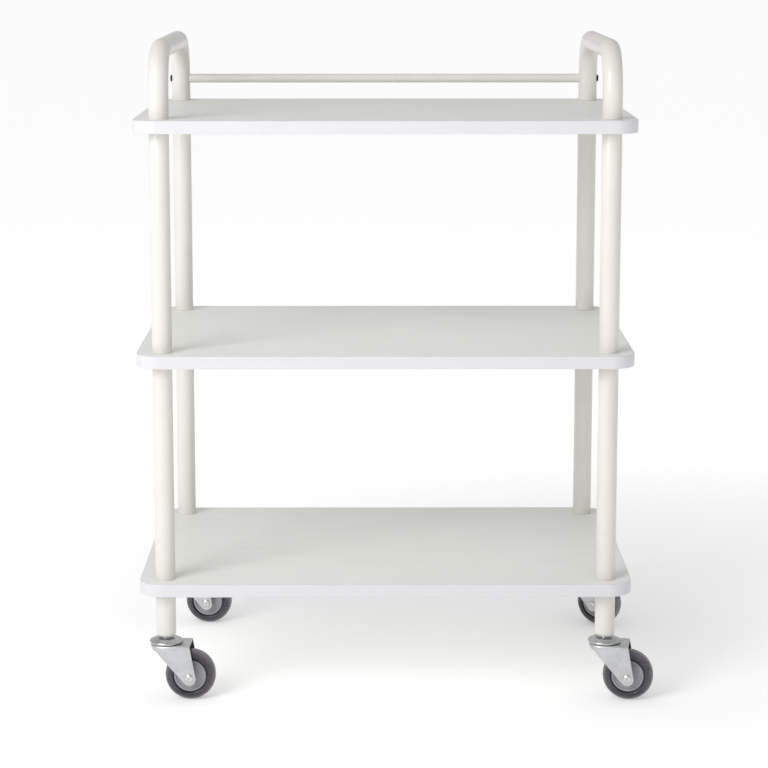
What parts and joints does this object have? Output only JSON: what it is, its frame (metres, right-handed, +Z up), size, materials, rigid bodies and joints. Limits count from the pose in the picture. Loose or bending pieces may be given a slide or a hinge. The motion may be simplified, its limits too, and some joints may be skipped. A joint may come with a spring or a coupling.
{
  "type": "rolling salon trolley",
  "caption": "Open-shelf rolling salon trolley: laminated boards between tubular posts, looped end handles, a back rail and swivel casters.",
  "frame": {"origin": "on the floor, midway between the four swivel axes", "axes": "+Z up; +X along the length of the shelves, to the right when seen from the front; +Y to the back, where the rail is"},
  "size_m": [0.6503, 0.41, 0.832],
  "materials": {
    "white_laminate": "white melamine laminate on chipboard, fine matt texture",
    "white_edge_band": "white ABS edge band, satin",
    "powder_coat": "warm white powder coat on steel tube, satin with faint orange peel",
    "plain_steel": "plain turned steel",
    "dark_screw": "dark oxide steel screw",
    "zinc_plate": "bright zinc plate on pressed steel",
    "bearing_steel": "polished bearing steel",
    "bright_bolt": "bright plated bolt and nut",
    "grey_hub": "moulded mid-grey nylon",
    "smoky_tread": "smoky translucent cast polyurethane, smooth"
  },
  "bodies": {
    "frame": {"bottom_shelf_board": "white_laminate", "middle_shelf_board": "white_laminate", "top_shelf_board": "white_laminate", "bottom_edge_band": "white_edge_band", "middle_edge_band": "white_edge_band", "top_edge_band": "white_edge_band", "left_handle_hoop": "powder_coat", "right_handle_hoop": "powder_coat", "upper_post_front_left": "powder_coat", "upper_post_front_right": "powder_coat", "upper_post_rear_left": "powder_coat", "upper_post_rear_right": "powder_coat", "lower_post_front_left": "powder_coat", "lower_post_front_right": "powder_coat", "lower_post_rear_left": "powder_coat", "lower_post_rear_right": "powder_coat", "leg_front_left": "powder_coat", "leg_front_right": "powder_coat", "leg_rear_left": "powder_coat", "leg_rear_right": "powder_coat", "back_rail": "powder_coat", "rail_plugs": "plain_steel", "rail_screws": "dark_screw", "tube_plugs": "plain_steel", "leg_plugs": "plain_steel", "shelf_studs": "plain_steel", "stem_nuts": "zinc_plate", "front_left_stem": "zinc_plate", "front_left_race_cup": "zinc_plate", "front_right_stem": "zinc_plate", "front_right_race_cup": "zinc_plate", "rear_left_stem": "zinc_plate", "rear_left_race_cup": "zinc_plate", "rear_right_stem": "zinc_plate", "rear_right_race_cup": "zinc_plate"},
    "front_left_caster": {"front_left_fork": "zinc_plate", "front_left_race_balls": "bearing_steel", "front_left_axle_bolt": "bright_bolt", "front_left_axle_sleeve": "plain_steel"},
    "front_left_wheel": {"front_left_wheel_hub": "grey_hub", "front_left_wheel_tread": "smoky_tread"},
    "front_right_caster": {"front_right_fork": "zinc_plate", "front_right_race_balls": "bearing_steel", "front_right_axle_bolt": "bright_bolt", "front_right_axle_sleeve": "plain_steel"},
    "front_right_wheel": {"front_right_wheel_hub": "grey_hub", "front_right_wheel_tread": "smoky_tread"},
    "rear_left_caster": {"rear_left_fork": "zinc_plate", "rear_left_race_balls": "bearing_steel", "rear_left_axle_bolt": "bright_bolt", "rear_left_axle_sleeve": "plain_steel"},
    "rear_left_wheel": {"rear_left_wheel_hub": "grey_hub", "rear_left_wheel_tread": "smoky_tread"},
    "rear_right_caster": {"rear_right_fork": "zinc_plate", "rear_right_race_balls": "bearing_steel", "rear_right_axle_bolt": "bright_bolt", "rear_right_axle_sleeve": "plain_steel"},
    "rear_right_wheel": {"rear_right_wheel_hub": "grey_hub", "rear_right_wheel_tread": "smoky_tread"}
  },
  "joints": [
    {"name": "front_left_swivel", "type": "hinge", "parent": "frame", "child": "front_left_caster", "pos_m": [-0.278, -0.173, 0.073], "axis": [0, 0, 1], "continuous": true},
    {"name": "front_left_roll", "type": "hinge", "parent": "front_left_caster", "child": "front_left_wheel", "pos_m": [-0.24752, -0.17406, 0.032], "axis": [0.0349, 0.9994, 0], "continuous": true},
    {"name": "front_right_swivel", "type": "hinge", "parent": "frame", "child": "front_right_caster", "pos_m": [0.278, -0.173, 0.073], "axis": [0, 0, 1], "continuous": true},
    {"name": "front_right_roll", "type": "hinge", "parent": "front_right_caster", "child": "front_right_wheel", "pos_m": [0.30812, -0.17777, 0.032], "axis": [0.1564, 0.9877, 0], "continuous": true},
    {"name": "rear_left_swivel", "type": "hinge", "parent": "frame", "child": "rear_left_caster", "pos_m": [-0.278, 0.173, 0.073], "axis": [0, 0, 1], "continuous": true},
    {"name": "rear_left_roll", "type": "hinge", "parent": "rear_left_caster", "child": "rear_left_wheel", "pos_m": [-0.2478, 0.16876, 0.032], "axis": [0.1392, 0.9903, 0], "continuous": true},
    {"name": "rear_right_swivel", "type": "hinge", "parent": "frame", "child": "rear_right_caster", "pos_m": [0.278, 0.173, 0.073], "axis": [0, 0, 1], "continuous": true},
    {"name": "rear_right_roll", "type": "hinge", "parent": "rear_right_caster", "child": "rear_right_wheel", "pos_m": [0.30298, 0.15551, 0.032], "axis": [0.5736, 0.8192, 0], "continuous": true}
  ]
}
